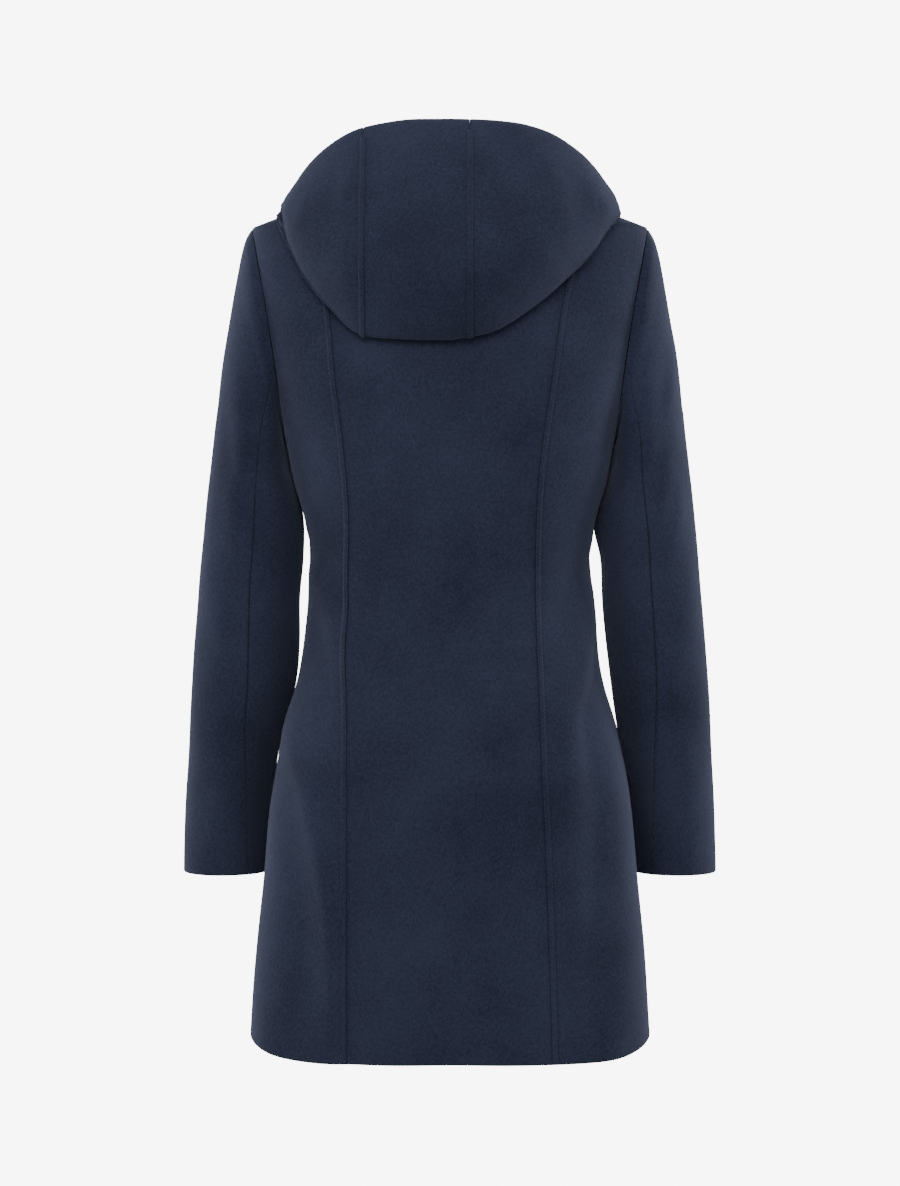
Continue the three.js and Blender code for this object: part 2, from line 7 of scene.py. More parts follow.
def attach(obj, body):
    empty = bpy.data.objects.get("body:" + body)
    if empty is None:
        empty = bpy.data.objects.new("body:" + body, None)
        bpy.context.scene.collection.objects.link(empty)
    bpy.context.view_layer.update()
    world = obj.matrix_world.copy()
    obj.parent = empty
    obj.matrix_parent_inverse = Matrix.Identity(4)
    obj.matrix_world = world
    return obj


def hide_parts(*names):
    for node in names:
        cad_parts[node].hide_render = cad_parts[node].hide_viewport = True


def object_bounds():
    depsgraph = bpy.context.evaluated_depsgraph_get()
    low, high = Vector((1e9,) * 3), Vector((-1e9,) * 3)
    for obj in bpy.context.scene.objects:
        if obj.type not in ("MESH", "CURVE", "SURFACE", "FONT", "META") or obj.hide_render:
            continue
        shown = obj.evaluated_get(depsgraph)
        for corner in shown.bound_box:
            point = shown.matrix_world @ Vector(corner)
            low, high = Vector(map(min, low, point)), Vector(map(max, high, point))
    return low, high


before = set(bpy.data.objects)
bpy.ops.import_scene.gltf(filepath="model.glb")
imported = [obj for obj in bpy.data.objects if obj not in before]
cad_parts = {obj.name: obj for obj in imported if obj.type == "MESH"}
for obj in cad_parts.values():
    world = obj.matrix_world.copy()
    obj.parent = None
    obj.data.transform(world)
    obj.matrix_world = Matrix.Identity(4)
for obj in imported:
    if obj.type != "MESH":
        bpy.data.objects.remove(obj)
cad_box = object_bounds()

# ---- Body panels ----
# Five panels of thick milled wool make the body: a back middle, two side backs and two fronts. They are
# cut with narrow curved seams that give the waist and the flare, and the cloth is about 2.6 mm thick.
MM = 0.001  # the sizes below are in millimetres
CLOTH = 2.6
SEAM = 0.05  # each panel's share of the seam's gap
HEM = -848.0
TIP_X, TIP_Z = 197.0, -37.0  # the tip of the shoulder
ARM_X, ARM_Z = 163.0, -252.0  # the lowest point of the armhole
ARM_DEEP = 57.0  # how far the armhole reaches to the back and to the front
ARM_BOW = (3.5, 7.0)  # how far it curves in on the back and on the front
NECK_X, NECK_Z = 76.0, 10.0  # the neck at the shoulder seam
NECK_DROP = 85.0  # how far the front neck dips
OVERLAP = 22.0  # how far each front reaches past the middle
HEM_LIFT = 14.0  # how far the hem rises at the sides


class Table:
    """Rows of numbers under named columns, read between the rows on a smooth curve."""

    def __init__(self, names, *rows):
        self.names = names.split()
        self.columns = dict(zip(self.names, np.array(rows, float).T))
        self.key = self.columns[self.names[0]]

    def at(self, where, name):
        key, value = self.key, self.columns[name]
        slope = np.empty_like(value)
        slope[1:-1] = (value[2:] - value[:-2]) / (key[2:] - key[:-2])
        slope[0] = (value[1] - value[0]) / (key[1] - key[0])
        slope[-1] = (value[-1] - value[-2]) / (key[-1] - key[-2])
        where = np.clip(np.asarray(where, float), key[0], key[-1])
        i = np.clip(np.searchsorted(key, where, side="right") - 1, 0, len(key) - 2)
        span = key[i + 1] - key[i]
        t = (where - key[i]) / span
        start, end = 2 * t**3 - 3 * t**2 + 1, 3 * t**2 - 2 * t**3
        pull = (t**3 - 2 * t**2 + t) * slope[i] + (t**3 - t**2) * slope[i + 1]
        return start * value[i] + end * value[i + 1] + pull * span


SECTIONS = Table(
    "z half back front full_back full_front",
    (-848, 198, 143, 138, 3.4, 2.9),
    (-780, 193.5, 141, 136, 3.2, 2.8),
    (-690, 185.5, 138, 133, 3.0, 2.7),
    (-600, 178.5, 134, 128, 2.8, 2.6),
    (-540, 167, 127, 122, 2.6, 2.5),
    (-480, 150.5, 118, 115, 2.5, 2.4),
    (-420, 142.5, 110, 109, 2.4, 2.3),
    (-367, 139.5, 107, 107, 2.4, 2.3),
    (-340, 142, 109, 109.4, 2.4, 2.3),
    (-320, 147, 111, 112, 2.4, 2.3),
    (-290, 156, 115, 117, 2.45, 2.3),
    (-252, 163, 119, 121, 2.5, 2.3),
    (-190, 176, 123, 124, 2.5, 2.3),
    (-130, 185, 120, 116, 2.4, 2.3),
    (-75, 192, 109, 99, 2.3, 2.3),
    (-37, 197, 94, 82, 2.3, 2.3),
    (-10, 127, 79, 68, 2.2, 2.2),
    (10, 76, 64, 56, 2.1, 2.1),
)
# How far the back's two seams run from the middle line, on the wearer's left and right.
BACK_SEAMS = Table(
    "z left right",
    (-848, 102, 100),
    (-743, 102, 97),
    (-600, 102, 91.5),
    (-500, 102, 88),
    (-407, 102, 85),
    (-324, 100.5, 86),
    (-262, 105, 91),
    (-196, 113, 100.5),
    (-110, 121, 113.5),
    (-14, 137, 137),
)
# The cloth's creases: each runs from x, z to x, z on the side it faces (1 back, -1 front), so many
# millimetres wide, and rises by high, or sinks where high is negative.
BODY_CREASES = [
    "x z to_x to_z width high facing",
    (156, -530, 114, -822, 15, 5.6, 1),
    (155, -545, 112, -828, 7, 2.8, 1),
    (140, -580, 98, -840, 9, -3.2, 1),
    (172, -560, 148, -830, 16, -3.6, 1),
    (128, -560, 88, -848, 20, -3.2, 1),
    (138, -372, 102, -492, 11, 3.8, 1),
    (122, -372, 96, -440, 9, -2.2, 1),
    (146, -330, 118, -352, 8, 1.6, 1),
    (150, -352, 112, -380, 9, -2.0, 1),
    (-138, -385, -106, -520, 12, 4.2, 1),
    (-122, -372, -92, -452, 10, -2.4, 1),
    (-110, -500, -106, -640, 14, 4.2, 1),
    (-106, -630, -118, -800, 18, 3.4, 1),
    (-140, -560, -152, -848, 20, 4.6, 1),
    (-126, -500, -128, -760, 12, -3.6, 1),
    (-134, -408, -106, -560, 7, 2.0, 1),
    (-148, -335, -116, -362, 9, 1.8, 1),
    (-150, -362, -120, -388, 8, -1.8, 1),
    (-60, -356, 52, -366, 10, -1.1, 1),
    (-30, -560, -52, -848, 34, 2.0, 1),
    (34, -540, 52, -848, 36, 1.8, 1),
    (0, -520, -4, -848, 30, -1.6, 1),
    (140, -520, 118, -848, 24, 6.5, -1),
    (158, -560, 148, -830, 17, -3.0, -1),
    (-142, -500, -124, -848, 24, 5.6, -1),
    (-160, -580, -152, -848, 17, -3.2, -1),
    (138, -370, 116, -500, 13, 3.6, -1),
    (-136, -380, -118, -510, 13, 3.8, -1),
    (146, -330, 112, -356, 9, -1.8, -1),
    (-148, -338, -118, -370, 9, -1.6, -1),
    (84, -560, 66, -848, 26, -2.6, -1),
    (-88, -540, -70, -848, 28, -2.4, -1),
    (150, -170, 104, -215, 12, -1.6, -1),
    (-148, -160, -108, -208, 12, -1.8, -1),
]


def smooth(x, low, high):
    t = np.clip((np.asarray(x, float) - low) / (high - low), 0.0, 1.0)
    return t * t * (3 - 2 * t)


def armhole(z):
    """How far the armhole is from the middle on the back and on the front, and how far it opens."""
    along = np.clip((z - ARM_Z) / (TIP_Z - ARM_Z), 0.0, 1.0)
    chord = ARM_X + (TIP_X - ARM_X) * along
    bow = np.sin(np.pi * along)
    wide = ARM_DEEP * np.sqrt(np.maximum(0.0, 1 - (2 * along - 1) ** 2))
    return chord - ARM_BOW[0] * bow, chord - ARM_BOW[1] * bow, wide


def half_width(z):
    z = np.asarray(z, float)
    full = SECTIONS.at(z, "full_back")
    at_back, _, wide = armhole(z)
    by_arm = at_back / (1 - (wide / SECTIONS.at(z, "back")) ** full) ** (1 / full)
    shoulder = TIP_X + (NECK_X - TIP_X) * (z - TIP_Z) / (NECK_Z - TIP_Z)
    return np.where(z > TIP_Z, shoulder, np.where(z > ARM_Z, by_arm, SECTIONS.at(z, "half")))


def angle_at(x, z, facing):
    """The angle round the body at which a section is x from the middle, on the back or the front."""
    full = SECTIONS.at(z, "full_back" if facing > 0 else "full_front")
    turn = np.arccos(np.clip(np.abs(x) / half_width(z), 0.0, 1.0) ** (full / 2))
    return facing * np.where(np.asarray(x) < 0, np.pi - turn, turn)


def bare_body(angle, z):
    angle, z = np.broadcast_arrays(np.asarray(angle, float), np.asarray(z, float))
    c, d = np.cos(angle), np.sin(angle)
    behind = d >= 0
    full = np.where(behind, SECTIONS.at(z, "full_back"), SECTIONS.at(z, "full_front"))
    deep = np.where(behind, SECTIONS.at(z, "back"), SECTIONS.at(z, "front"))
    half = half_width(z)
    x = half * np.sign(c) * np.abs(c) ** (2 / full)
    y = deep * np.sign(d) * np.abs(d) ** (2 / full)
    hem = HEM_LIFT * (np.abs(x) / half) ** 8 * smooth(-z, 600, -HEM)
    return np.stack([x, y, z + hem], -1)


def size(v):
    return np.linalg.norm(v, axis=-1, keepdims=True)


def unit(v):
    return v / np.maximum(size(v), 1e-9)


def body_normal(angle, z):
    round_it = bare_body(angle + 0.01, z) - bare_body(angle - 0.01, z)
    up = bare_body(angle, np.minimum(z + 1.5, NECK_Z)) - bare_body(angle, np.maximum(z - 1.5, HEM))
    return unit(np.cross(round_it, up))


def creases(points, behind, table):
    """How far each point stands out on the creases listed, each a soft ridge or trough."""
    x, z = points[..., 0], points[..., 2]
    out = np.zeros_like(x)
    for x0, z0, x1, z1, width, high, facing in table[1:]:
        ax, az = x1 - x0, z1 - z0
        length = ax * ax + az * az
        along = ((x - x0) * ax + (z - z0) * az) / length
        near = np.clip(along, 0, 1)
        bow = 0.06 * math.sqrt(length) * np.sin(np.pi * near)
        off = ((x - x0) * az - (z - z0) * ax) / math.sqrt(length) - bow
        past = (along - near) * math.sqrt(length)
        ends = 0.25 + 0.75 * np.sin(np.pi * np.clip(along, 0.0, 1.0)) ** 0.7
        if z1 <= HEM + 20:
            ends = np.where(along > 0.5, 1.0, ends)
        shape = high * ends * np.exp(-((off / width) ** 2) - (past / (1.6 * width)) ** 2)
        out += np.where(behind == (facing > 0), shape, 0.0)
    return out


def unevenness(points, most):
    """Slow, shallow waves that keep hand-pressed cloth from lying perfectly true."""
    x, y, z = (points[..., k] for k in range(3))
    waves = np.sin(x / 31 + 1.3 * np.sin(z / 83)) * np.sin(z / 57 + 0.9) + 0.6 * np.sin(y / 23 + z / 39)
    waves += 0.5 * np.sin(x / 13 - z / 71 + 2.0) * np.sin(z / 21 + x / 45)
    return most * waves / 2.1


def on_body(angle, z, lift=0.0):
    point = bare_body(angle, z)
    normal = body_normal(angle, z)
    rise = creases(point, np.sin(angle) >= 0, BODY_CREASES) + unevenness(point, 0.7)
    # At the shoulder and neck the cloth is pressed flat.
    rise *= 1 - smooth(point[..., 2], -70, -30)
    return point + normal * (rise + lift)[..., None], normal


def even_shares(points, steps, ease=SEAM):
    """Shares of a fine curve at even steps, closer at its ends, where the cloth's edge rounds over."""
    length = np.concatenate([[0.0], np.cumsum(np.linalg.norm(np.diff(points, axis=0), axis=1))])
    total = length[-1]
    ease = min(ease, 0.2 * total)
    edge = min(2.2, 0.1 * total)
    inner = np.linspace(ease + edge, total - ease - edge, steps + 1)
    want = np.concatenate([[ease, ease + 0.35 * edge], inner, [total - ease - 0.35 * edge, total - ease]])
    return np.interp(want, length, np.linspace(0.0, 1.0, len(points)))


def made(name, points, faces, uv):
    """A smooth object from points in millimetres, with a place on the flat map for each point."""
    mesh = bpy.data.meshes.new(name)
    mesh.from_pydata((points * MM).tolist(), [], faces)
    layer = mesh.uv_layers.new(name="cloth")
    corners = np.empty(len(mesh.loops), dtype=int)
    mesh.loops.foreach_get("vertex_index", corners)
    layer.data.foreach_set("uv", uv[corners].ravel())
    mesh.polygons.foreach_set("use_smooth", np.ones(len(mesh.polygons), dtype=bool))
    piece = bpy.data.objects.new(name, mesh)
    bpy.context.scene.collection.objects.link(piece)
    return piece


def woven_sheet(name, points, normals, outward=1, thick=CLOTH):
    """A cloth wall on a grid of points: rounded at its edges, with its own flat size as its UV map."""
    rows, columns = points.shape[:2]
    drop = np.zeros((rows, columns))
    for shift, low in ((0, 0.75), (1, 0.16)):
        drop[:, [shift, columns - 1 - shift]] = np.maximum(drop[:, [shift, columns - 1 - shift]], low)
        drop[[shift, rows - 1 - shift], :] = np.maximum(drop[[shift, rows - 1 - shift], :], low)
    outer = points - normals * (drop * min(1.0, thick / CLOTH))[..., None]
    inner = points - normals * thick
    loop = [(0, j) for j in range(columns - 1)] + [(i, columns - 1) for i in range(rows - 1)]
    loop += [(rows - 1, j) for j in range(columns - 1, 0, -1)] + [(i, 0) for i in range(rows - 1, 0, -1)]
    middle = np.array([(outer[p] + inner[p]) / 2 for p in loop])
    verts = np.concatenate([outer.reshape(-1, 3), inner.reshape(-1, 3), middle])
    index = np.arange(rows * columns).reshape(rows, columns)
    a, b, c, d = index[:-1, :-1], index[:-1, 1:], index[1:, 1:], index[1:, :-1]
    top = np.stack([a, b, c, d], -1).reshape(-1, 4)
    under = np.stack([a, d, c, b], -1).reshape(-1, 4) + rows * columns
    first = 2 * rows * columns
    rim = []
    for k, (here, then) in enumerate(zip(loop, loop[1:] + loop[:1])):
        p, q = index[here], index[then]
        m, n = first + k, first + (k + 1) % len(loop)
        rim += [(p, m, n, q), (m, p + rows * columns, q + rows * columns, n)]
    faces = np.concatenate([top, under, np.array(rim)])
    if outward < 0:
        faces = faces[:, ::-1]
    across = np.linalg.norm(np.diff(points, axis=1), axis=2)
    down = np.linalg.norm(np.diff(points, axis=0), axis=2)
    u = np.concatenate([np.zeros((rows, 1)), np.cumsum(across, axis=1)], axis=1)
    u -= u[:, -1:] / 2
    v = np.concatenate([np.zeros((1, columns)), np.cumsum(down, axis=0)], axis=0)
    flat_uv = np.stack([u, v], -1) * MM
    rim_uv = np.array([flat_uv[p] for p in loop])
    uv = np.concatenate([flat_uv.reshape(-1, 2), flat_uv.reshape(-1, 2), rim_uv])
    piece = made(name, verts, faces.tolist(), uv)
    # Each point's share of the painted shade that darkens the cloth's rounded edges and rims.
    sewn = piece.data.attributes.new("sewn", "FLOAT", "POINT")
    sewn.data.foreach_set("value", np.concatenate([drop.ravel(), drop.ravel(), np.ones(len(loop))]))
    row_steps, column_steps = points[1:, 1:] - points[:-1, :-1], points[1:, :-1] - points[:-1, 1:]
    cell = np.linalg.norm(np.cross(row_steps, column_steps), axis=2)
    piece["flat"] = [float(across.sum(1).max() * MM), float(down.sum(0).max() * MM)]
    piece["area"] = float(cell.sum() / 2 * MM * MM)
    return piece


class Socket:
    """A shader socket. Sums of sockets add their Math nodes, and node adds a node of any kind."""

    def __init__(self, tree, out=None):
        self.tree, self.out = tree, out

    def node(self, kind, settings=None, inputs=None, output=0):
        """Sets a node's settings, then the values or links of its sockets, and gives one output."""
        node = self.tree.nodes.new(kind)
        for name, value in (settings or {}).items():
            if name == "stops":
                ramp = node.color_ramp
                ramp.elements[0].position, ramp.elements[0].color = value[0]
                ramp.elements[1].position, ramp.elements[1].color = value[-1]
                for place, color in value[1:-1]:
                    ramp.elements.new(place).color = color
            else:
                setattr(node, name, value)
        for name, value in (inputs or {}).items():
            if isinstance(value, Socket):
                self.tree.links.new(value.out, node.inputs[name])
            else:
                node.inputs[name].default_value = value
        return Socket(self.tree, node.outputs[output])

    def maths(self, operation, *values):
        return self.node("ShaderNodeMath", {"operation": operation}, dict(enumerate(values)))

    def __add__(self, other):
        return self.maths("ADD", self, other)

    def __sub__(self, other):
        return self.maths("SUBTRACT", self, other)

    def __rsub__(self, other):
        return self.maths("SUBTRACT", other, self)

    def __mul__(self, other):
        return self.maths("MULTIPLY", self, other)

    def __truediv__(self, other):
        return self.maths("DIVIDE", self, other)

    def __rtruediv__(self, other):
        return self.maths("DIVIDE", other, self)

    def __abs__(self):
        return self.maths("ABSOLUTE", self)

    __radd__, __rmul__ = __add__, __mul__


def blank(name, constants):
    """A material with one Principled shader whose constants are set, and the start of its nodes."""
    material = bpy.data.materials.new(name)
    material.use_nodes = True
    for socket, value in constants.items():
        material.node_tree.nodes["Principled BSDF"].inputs[socket].default_value = value
    return material, Socket(material.node_tree)


def feed(start, color, rough, height, strength, depth):
    """Leads a colour, a roughness and a bump of so many metres to the material's shader."""
    settings = {"Strength": strength, "Distance": depth, "Height": height}
    bump = start.node("ShaderNodeBump", None, settings)
    shader = start.tree.nodes["Principled BSDF"]
    for name, value in (("Base Color", color), ("Roughness", rough), ("Normal", bump)):
        start.tree.links.new(value.out, shader.inputs[name])


def step_up(value, low, high):
    return value.node(
        "ShaderNodeMapRange",
        {"interpolation_type": "SMOOTHSTEP", "clamp": True},
        {"Value": value, "From Min": low, "From Max": high, "To Min": 0.0, "To Max": 1.0},
    )


def mixed(share, a, b):
    return share.node("ShaderNodeMix", {"data_type": "RGBA"}, {0: share, 6: a, 7: b}, 2)


def flat_map(start):
    """The cloth's flat map: a place across and a place along it, in metres."""
    flat = start.node("ShaderNodeTexCoord", output="UV")
    return [start.node("ShaderNodeSeparateXYZ", None, {0: flat}, axis) for axis in "XY"]


def noise(source, scale, detail, rough, stretch=(1.0, 1.0, 1.0)):
    drawn = source.node("ShaderNodeMapping", None, {"Vector": source, "Scale": stretch})
    settings = {"Vector": drawn, "Scale": scale, "Detail": detail, "Roughness": rough}
    return source.node("ShaderNodeTexNoise", None, settings)


WOOL_DEEP = (0.0150, 0.0180, 0.0350, 1)
WOOL_BLUE = (0.0360, 0.0430, 0.0750, 1)
WOOL_FIBRE = (0.085, 0.095, 0.150, 1)
# WOOL_SHADE is painted shade: the dark that the panels' edges and the bands' sides are mixed towards.
WOOL_SHADE = (0.006, 0.007, 0.014, 1)
THREAD = (0.050, 0.058, 0.100, 1)
WOOL_SHINE = {
    "Sheen Weight": 0.20,
    "Sheen Roughness": 0.45,
    "Sheen Tint": (0.62, 0.68, 0.95, 1),
    "Specular IOR Level": 0.10,
}


def wool(name, stitched=()):
    """Wool with a nap, darkened with painted shade along a panel's edges and a band's two sides.
    On a band, stitched says how far its two rows of stitches lie from its middle."""
    material, start = blank(name, WOOL_SHINE)
    place = start.node("ShaderNodeTexCoord", output="Object")
    flat = start.node("ShaderNodeTexCoord", output="UV")
    clouds = noise(place, 9.0, 3.0, 0.55)
    felt = noise(place, 420.0, 4.0, 0.65)
    lumps = noise(place, 150.0, 3.0, 0.6)
    nap = noise(flat, 900.0, 2.0, 0.6, stretch=(1.0, 0.28, 1.0))
    fibres = noise(flat, 2300.0, 2.0, 0.5, stretch=(0.35, 1.0, 1.0))
    twill = start.node(
        "ShaderNodeTexWave",
        {"wave_type": "BANDS", "bands_direction": "DIAGONAL"},
        {"Vector": flat, "Scale": 260.0, "Distortion": 2.4, "Detail": 2.0, "Detail Scale": 3.0},
        1,
    )
    tone = step_up(clouds * 0.35 + felt * 0.40 + nap * 0.25, 0.34, 0.66)
    color = mixed(tone, WOOL_DEEP, WOOL_BLUE)
    color = mixed(step_up(fibres, 0.66, 0.78) * 0.22, color, WOOL_FIBRE)
    height = felt * 0.45 + nap * 0.25 + lumps * 0.5 + twill * 0.10
    if stitched:
        across, along = flat_map(start)
        runs = []
        for row in stitched:
            away = abs(across - row)
            beat = start.maths("FRACT", (along + row * 0.4) / 0.0036)
            dash = step_up(beat, 0.08, 0.2) * (1 - step_up(beat, 0.72, 0.86))
            runs.append((1 - step_up(away, 0.00022, 0.00042)) * dash)
            height = height - (1 - step_up(away, 0.0003, 0.0009)) * 0.9 + runs[-1] * 0.6
        color = mixed(start.maths("MAXIMUM", *runs) * 0.6, color, THREAD)
        # The band's two sides are darkened with painted shade, for the shade where it meets the panels.
        color = mixed(step_up(abs(across), 0.0027, 0.0033) * 0.75, color, WOOL_SHADE)
    else:
        # A panel is darkened towards its edges and rims with painted shade, for the shade in its seams and
        # where it turns under.
        sewn = start.node("ShaderNodeAttribute", {"attribute_name": "sewn"}, output="Fac")
        color = mixed(sewn * 0.7, color, WOOL_SHADE)
    feed(start, color, felt * 0.12 + 0.84, height, 0.75, 0.0009)
    return material


coat_wool = wool("navy milled wool")


def declare(piece, node, bent=1.0):
    """The piece stands for its node and rides with the coat.
    bent, the share by which a cut with bent rows lies narrower than its longest row, is not used."""
    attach(piece, "root")
    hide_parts(node)
    width, length = piece["flat"]
    width *= bent
    piece.data.materials.append(coat_wool)


# The rows run closer where the cloth's edge rounds over and round the armhole.
skirt_rows = np.concatenate([[HEM, HEM + 0.8, HEM + 2.4], np.linspace(HEM + 7, ARM_Z, 86)])
armhole_rows = ARM_Z + (TIP_Z - ARM_Z) * (1 - np.cos(np.pi * np.linspace(0, 1, 37)[1:])) / 2
shoulder_rows = np.linspace(TIP_Z, 8, 18)[1:]
body_rows = np.concatenate([skirt_rows, armhole_rows, shoulder_rows])


def evenly_across(bare, start, stop, columns, ease=SEAM):
    """For each row, the places from start to stop that lie evenly along the cloth."""
    start, stop = start[:, None], stop[:, None]
    points = bare(start + (stop - start) * np.linspace(0, 1, 97))
    share = np.array([even_shares(row, columns, ease) for row in points])
    return start + (stop - start) * share


def body_panel(name, rows, columns, start, stop, lift=None):
    """A panel between two angles, given at each height by start and stop."""
    z = rows[:, None]
    angle = evenly_across(lambda fine: bare_body(fine, z), start, stop, columns)
    z = np.broadcast_to(z, angle.shape)
    off = 0.0 if lift is None else lift(bare_body(angle, z)[..., 0])
    return woven_sheet(name, *on_body(angle, z, off))


def back_seam(z, side):
    return np.minimum(BACK_SEAMS.at(z, side), half_width(z))


def side_edge(z, facing):
    """The side seam's distance from the middle, and above it the armhole's on the back or the front."""
    edge = armhole(z)[0 if facing > 0 else 1]
    return np.where((z <= ARM_Z) | (z >= TIP_Z), half_width(z), edge)


back_centre = body_panel(
    "back_middle_cloth",
    body_rows,
    44,
    angle_at(back_seam(body_rows, "left"), body_rows, 1),
    angle_at(-back_seam(body_rows, "right"), body_rows, 1),
)
side_top = -15.0  # where the side backs run out to a point in the shoulder seam
side_rows = np.append(body_rows[body_rows < side_top - 1], side_top)
back_sides = {
    "left": body_panel(
        "left_side_back_cloth",
        side_rows,
        28,
        angle_at(side_edge(side_rows, 1), side_rows, 1),
        angle_at(back_seam(side_rows, "left"), side_rows, 1),
    ),
    "right": body_panel(
        "right_side_back_cloth",
        side_rows,
        28,
        angle_at(-back_seam(side_rows, "right"), side_rows, 1),
        angle_at(-side_edge(side_rows, 1), side_rows, 1),
    ),
}

# The fronts meet with the right one on top, and their necks are cut to a deep round.
neck_low = NECK_Z - NECK_DROP
neck_rows = [neck_low - 1.5, neck_low + 1.5]
front_rows = np.sort(np.append(body_rows[np.abs(body_rows - neck_low) > 4], neck_rows))
down = (NECK_Z - front_rows) / NECK_DROP
round_neck = np.maximum(NECK_X * np.sqrt(1 - np.minimum(down, 1) ** 2), 1.0)
front_reach = np.where(down >= 1, -OVERLAP, round_neck)
fronts = {
    "left": body_panel(
        "left_front_cloth",
        front_rows,
        46,
        angle_at(front_reach, front_rows, -1),
        angle_at(side_edge(front_rows, -1), front_rows, -1),
        # Where it lies under the right front, it is set in by the thickness of the cloth.
        lift=lambda x: -(CLOTH + 0.7) * (1 - smooth(x, OVERLAP + 12, OVERLAP + 36)),
    ),
    "right": body_panel(
        "right_front_cloth",
        front_rows,
        46,
        angle_at(-side_edge(front_rows, -1), front_rows, -1),
        angle_at(-front_reach, front_rows, -1),
    ),
}

# ---- Lapped bands over the back seams ----
# Each back seam is lapped and stitched down on both sides, so a narrow band of doubled cloth stands
# about a millimetre proud of the panels and runs from the hem to the shoulder under the hood.
BAND = 6.6
# The band's outline: places across it, as shares of its width, and heights over the panels.
BAND_PROFILE = np.array([
    (-0.5, 0.1),
    (-0.48, 1.0),
    (-0.41, 1.45),
    (-0.33, 1.25),
    (-0.15, 1.6),
    (0.15, 1.6),
    (0.33, 1.25),
    (0.41, 1.45),
    (0.48, 1.0),
    (0.5, 0.1),
])
band_wool = wool("stitched wool band", stitched=(-0.0023, 0.0023))


def swept(name, rings, around, length):
    """A closed bar through rings of points; around and length are its places on the flat map."""
    rows, sides = rings.shape[:2]
    index = np.arange(rows * sides).reshape(rows, sides)
    wrap = np.roll(index, -1, axis=1)
    faces = np.stack([index[:-1], wrap[:-1], wrap[1:], index[1:]], -1).reshape(-1, 4).tolist()
    faces += [index[0, ::-1].tolist(), index[-1].tolist()]
    uv = np.stack(np.broadcast_arrays(around[None, :], length[:, None]), -1).reshape(-1, 2)
    return made(name, rings.reshape(-1, 3), faces, uv)


def length_along(line):
    steps = np.linalg.norm(np.diff(line, axis=0), axis=1)
    return np.concatenate([[0.0], np.cumsum(steps)]) * MM


def raised_band(name, middle, normals):
    """A closed strip along a line of points, with its stitched edges pressed lower than its middle."""
    aside = unit(np.cross(normals, unit(np.gradient(middle, axis=0))))
    across = np.concatenate([BAND_PROFILE[:, 0], BAND_PROFILE[::-1, 0]]) * BAND
    high = np.concatenate([BAND_PROFILE[:, 1], np.full(len(BAND_PROFILE), 0.1)])
    rings = middle[:, None] + aside[:, None] * across[:, None] + normals[:, None] * high[:, None]
    piece = swept(name, rings, across * MM, length_along(middle))
    bpy.ops.object.select_all(action="DESELECT")
    piece.select_set(True)
    bpy.context.view_layer.objects.active = piece
    bpy.ops.object.mode_set(mode="EDIT")
    bpy.ops.mesh.select_all(action="SELECT")
    bpy.ops.mesh.normals_make_consistent(inside=False)
    bpy.ops.object.mode_set(mode="OBJECT")
    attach(piece, "root")
    piece.data.materials.append(band_wool)
    return piece


def band_on_back(side):
    sign = 1 if side == "left" else -1
    z = np.linspace(HEM + 0.4, side_top - 1, 240)
    angle = angle_at(sign * np.minimum(BACK_SEAMS.at(z, side), half_width(z)), z, 1)
    return raised_band(f"{side}_back_seam_band", *on_body(angle, z))


back_bands = {side: band_on_back(side) for side in ("left", "right")}

declare(back_centre, "back_centre")
for side in ("left", "right"):
    declare(back_sides[side], f"back_side_{side}")
    declare(fronts[side], f"front_{side}")

# ---- Sleeves ----
# Each sleeve is a top and an under piece of the same wool, sewn with two long seams and set into the
# armhole. The arms hang, so soft slanting creases run down from the back of the armhole to the elbow.
RINGS = Table(
    "ring out_x out_z in_left in_right in_z depth forward back front",
    (0, 197.5, -36, 163.5, 163.5, -250, 58, 0, 108, -100),
    (1, 203.5, -45, 164.4, 164.4, -252.5, 62, 1, 112, -101),
    (2, 209, -62, 163.4, 163.4, -258, 65, 4, 113.5, -103),
    (3, 214, -86, 161.7, 161.7, -265, 68, 9, 110.5, -105),
    (4, 219.5, -116, 159.9, 159.9, -274, 70, 12, 107, -108),
    (5, 226, -155, 157, 157, -287, 71, 15, 101.5, -110),
    (6, 232.5, -200, 151.3, 151.1, -306, 71, 17, 96, -112),
    (7, 239, -255, 146.6, 144.4, -332, 69, 18, 92.5, -114),
    (8, 245.6, -320, 147, 151, -366, 67, 18, 94, -116),
    (9, 251.2, -380, 151, 153, -405, 65, 19, 95, -118),
    (10, 256, -435, 151.5, 157, -448, 63, 21, 96, -120),
    (11, 260, -488, 155.5, 162.5, -493, 61, 25, 99, -122),
    (12, 263.5, -540, 169, 169, -541, 60, 31, 106, -124),
    (13, 266.6, -592, 178, 178, -592, 59, 37, 117, -126),
    (14, 268.8, -639, 182, 182, -639, 58, 41, 123, -128),
    (15, 270, -681.5, 184.6, 184.6, -681.5, 57, 43, 128, -130),
)
LAST_RING = 15.0
